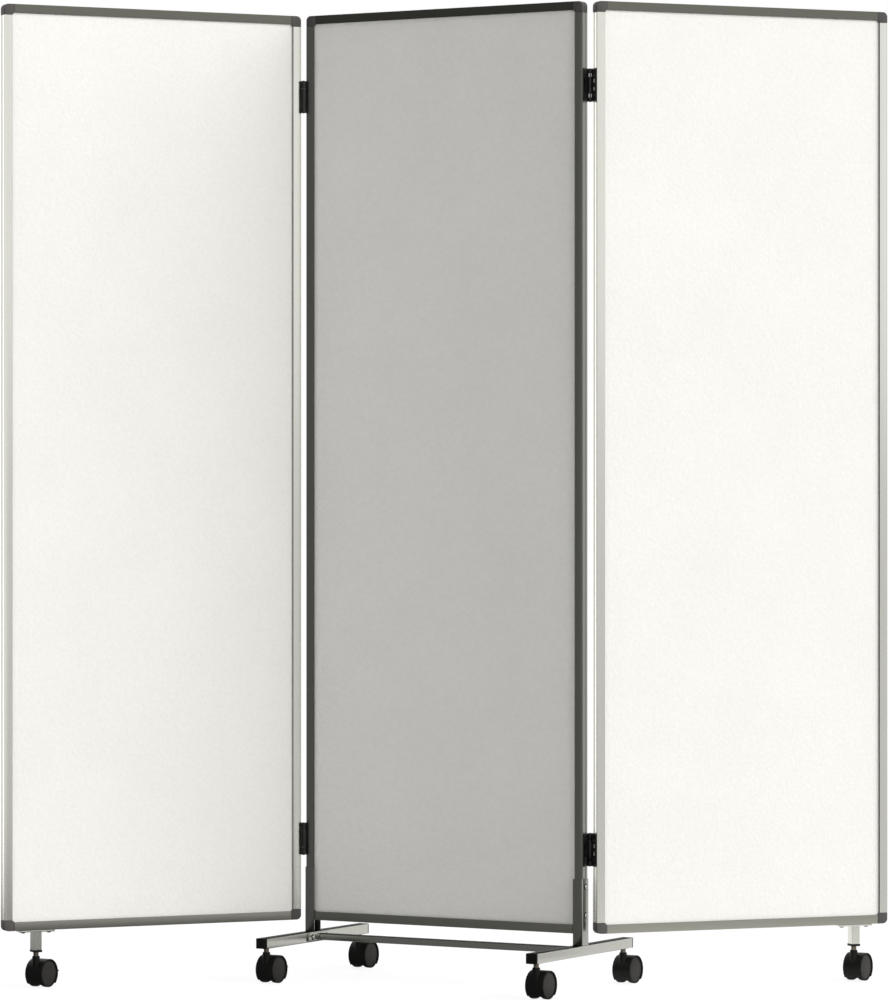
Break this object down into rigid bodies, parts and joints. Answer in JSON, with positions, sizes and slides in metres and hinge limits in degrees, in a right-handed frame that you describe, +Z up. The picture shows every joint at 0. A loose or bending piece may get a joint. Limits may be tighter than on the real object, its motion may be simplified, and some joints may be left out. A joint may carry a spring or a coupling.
{
  "type": "ward privacy screen on wheels",
  "caption": "Folding ward privacy screen: white boards in aluminium frames, hinged in a zig-zag, the middle one on a footed base, standing on hooded swivel casters.",
  "frame": {"origin": "on the floor, at the centre of the box round the screen as it stands half folded; the middle panel's own centre lies 12.1 mm to -X and 9.3 mm to +Y of it", "axes": "+X along the middle panel, to the right as seen from its front; -Y is the front of the middle panel; +Z up"},
  "size_m": [1.339, 0.978, 1.802],
  "materials": {
    "aluminium": "satin anodised",
    "board": "matt white, lightly textured",
    "corner_plastic": "matt dark grey",
    "black_plastic": "matt black",
    "hinge": "satin black",
    "wheel": "matt dark grey"
  },
  "bodies": {
    "stand": {"middle_panel_left_rail": "aluminium", "middle_panel_right_rail": "aluminium", "middle_panel_bottom_rail": "aluminium", "middle_panel_top_rail": "aluminium", "middle_panel_bottom_left_corner": "corner_plastic", "middle_panel_bottom_right_corner": "corner_plastic", "middle_panel_top_right_corner": "corner_plastic", "middle_panel_top_left_corner": "corner_plastic", "middle_panel_board": "board", "left_foot": "aluminium", "left_foot_front_cap": "black_plastic", "left_foot_back_cap": "black_plastic", "right_foot": "aluminium", "right_foot_front_cap": "black_plastic", "right_foot_back_cap": "black_plastic", "crossbar": "aluminium", "left_lower_hinge_pin_leaf": "hinge", "left_upper_hinge_pin_leaf": "hinge", "right_lower_hinge_pin_leaf": "hinge", "right_upper_hinge_pin_leaf": "hinge"},
    "left_wing": {"left_panel_outer_rail": "aluminium", "left_panel_inner_rail": "aluminium", "left_panel_bottom_rail": "aluminium", "left_panel_top_rail": "aluminium", "left_panel_bottom_outer_corner": "corner_plastic", "left_panel_bottom_inner_corner": "corner_plastic", "left_panel_top_inner_corner": "corner_plastic", "left_panel_top_outer_corner": "corner_plastic", "left_panel_board": "board", "left_wing_post": "aluminium", "left_wing_post_cap": "black_plastic", "left_lower_hinge_wing_leaf": "hinge", "left_upper_hinge_wing_leaf": "hinge"},
    "right_wing": {"right_panel_inner_rail": "aluminium", "right_panel_outer_rail": "aluminium", "right_panel_bottom_rail": "aluminium", "right_panel_top_rail": "aluminium", "right_panel_bottom_inner_corner": "corner_plastic", "right_panel_bottom_outer_corner": "corner_plastic", "right_panel_top_outer_corner": "corner_plastic", "right_panel_top_inner_corner": "corner_plastic", "right_panel_board": "board", "right_wing_post": "aluminium", "right_wing_post_cap": "black_plastic", "right_lower_hinge_wing_leaf": "hinge", "right_upper_hinge_wing_leaf": "hinge"},
    "left_front_swivel": {"left_front_caster_housing": "black_plastic"},
    "left_front_wheels": {"left_front_caster_wheels": "wheel"},
    "left_front_brake": {"left_front_caster_brake_pedal": "black_plastic"},
    "left_back_swivel": {"left_back_caster_housing": "black_plastic"},
    "left_back_wheels": {"left_back_caster_wheels": "wheel"},
    "right_front_swivel": {"right_front_caster_housing": "black_plastic"},
    "right_front_wheels": {"right_front_caster_wheels": "wheel"},
    "right_back_swivel": {"right_back_caster_housing": "black_plastic"},
    "right_back_wheels": {"right_back_caster_wheels": "wheel"},
    "left_wing_swivel": {"left_wing_caster_housing": "black_plastic"},
    "left_wing_wheels": {"left_wing_caster_wheels": "wheel"},
    "left_wing_brake": {"left_wing_caster_brake_pedal": "black_plastic"},
    "right_wing_swivel": {"right_wing_caster_housing": "black_plastic"},
    "right_wing_wheels": {"right_wing_caster_wheels": "wheel"}
  },
  "joints": [
    {"name": "left_wing_fold", "type": "hinge", "parent": "stand", "child": "left_wing", "pos_m": [-0.31011, -0.00519, 0.258], "axis": [0, 0, 1], "range_deg": [-55.1, 124.9]},
    {"name": "right_wing_fold", "type": "hinge", "parent": "stand", "child": "right_wing", "pos_m": [0.28589, 0.02381, 0.258], "axis": [0, 0, 1], "range_deg": [-52.1, 127.9]},
    {"name": "left_front_caster_swivel", "type": "hinge", "parent": "stand", "child": "left_front_swivel", "pos_m": [-0.29766, -0.15569, 0.06], "axis": [0, 0, 1], "continuous": true},
    {"name": "left_front_caster_roll", "type": "hinge", "parent": "left_front_swivel", "child": "left_front_wheels", "pos_m": [-0.29766, -0.13769, 0.025], "axis": [1, 0, 0], "continuous": true},
    {"name": "left_front_caster_brake", "type": "hinge", "parent": "left_front_swivel", "child": "left_front_brake", "pos_m": [-0.29766, -0.11056, 0.02881], "axis": [-1, 0, 0], "range_deg": [0, 20]},
    {"name": "left_back_caster_swivel", "type": "hinge", "parent": "stand", "child": "left_back_swivel", "pos_m": [-0.29766, 0.17431, 0.06], "axis": [0, 0, 1], "continuous": true},
    {"name": "left_back_caster_roll", "type": "hinge", "parent": "left_back_swivel", "child": "left_back_wheels", "pos_m": [-0.29766, 0.19231, 0.025], "axis": [1, 0, 0], "continuous": true},
    {"name": "right_front_caster_swivel", "type": "hinge", "parent": "stand", "child": "right_front_swivel", "pos_m": [0.27344, -0.15569, 0.06], "axis": [0, 0, 1], "continuous": true},
    {"name": "right_front_caster_roll", "type": "hinge", "parent": "right_front_swivel", "child": "right_front_wheels", "pos_m": [0.27344, -0.13769, 0.025], "axis": [1, 0, 0], "continuous": true},
    {"name": "right_back_caster_swivel", "type": "hinge", "parent": "stand", "child": "right_back_swivel", "pos_m": [0.27344, 0.17431, 0.06], "axis": [0, 0, 1], "continuous": true},
    {"name": "right_back_caster_roll", "type": "hinge", "parent": "right_back_swivel", "child": "right_back_wheels", "pos_m": [0.27344, 0.19231, 0.025], "axis": [1, 0, 0], "continuous": true},
    {"name": "left_wing_caster_swivel", "type": "hinge", "parent": "left_wing", "child": "left_wing_swivel", "pos_m": [-0.6241, -0.42994, 0.06], "axis": [0, 0, 1], "continuous": true},
    {"name": "left_wing_caster_roll", "type": "hinge", "parent": "left_wing_swivel", "child": "left_wing_wheels", "pos_m": [-0.6241, -0.41194, 0.025], "axis": [1, 0, 0], "continuous": true},
    {"name": "left_wing_caster_brake", "type": "hinge", "parent": "left_wing_swivel", "child": "left_wing_brake", "pos_m": [-0.6241, -0.38481, 0.02881], "axis": [-1, 0, 0], "range_deg": [0, 20]},
    {"name": "right_wing_caster_swivel", "type": "hinge", "parent": "right_wing", "child": "right_wing_swivel", "pos_m": [0.62167, 0.43154, 0.06], "axis": [0, 0, 1], "continuous": true},
    {"name": "right_wing_caster_roll", "type": "hinge", "parent": "right_wing_swivel", "child": "right_wing_wheels", "pos_m": [0.62167, 0.44954, 0.025], "axis": [1, 0, 0], "continuous": true}
  ]
}
